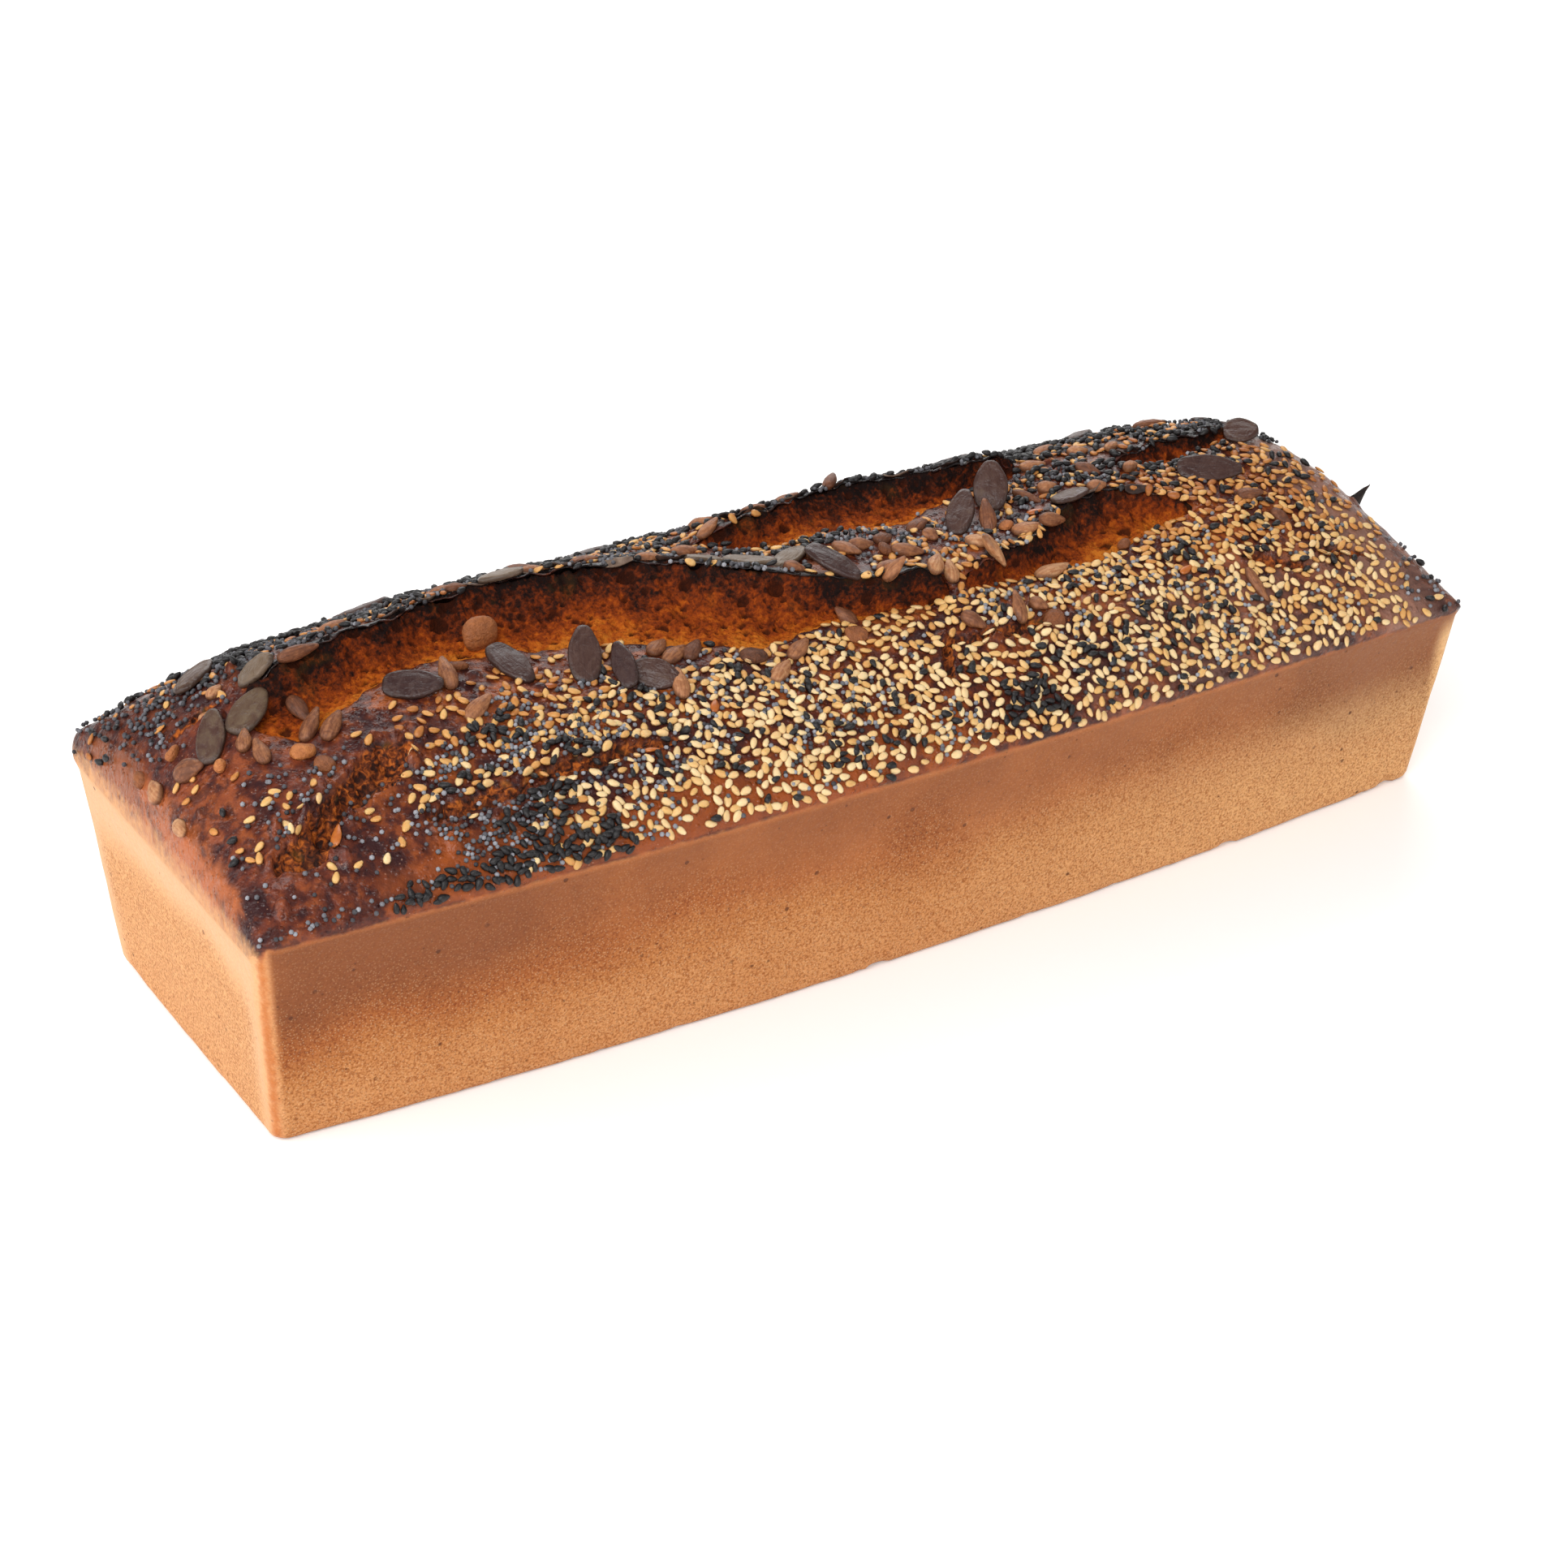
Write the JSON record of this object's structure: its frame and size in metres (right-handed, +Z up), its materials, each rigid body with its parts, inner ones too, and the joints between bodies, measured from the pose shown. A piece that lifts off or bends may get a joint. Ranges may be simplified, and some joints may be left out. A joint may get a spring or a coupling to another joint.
{
  "type": "rye bread loaf",
  "caption": "Long tin-baked rye bread loaf with tapering walls, a domed top crust burst into open splits, and seeds baked into it.",
  "frame": {"origin": "centre of the flat bottom", "axes": "+X along the loaf, -Y out of its front long wall, +Z up"},
  "size_m": [0.345, 0.1218, 0.0966],
  "materials": {
    "crust": "matte baked crust"
  },
  "bodies": {
    "root": {"loaf": "crust"}
  },
  "joints": []
}
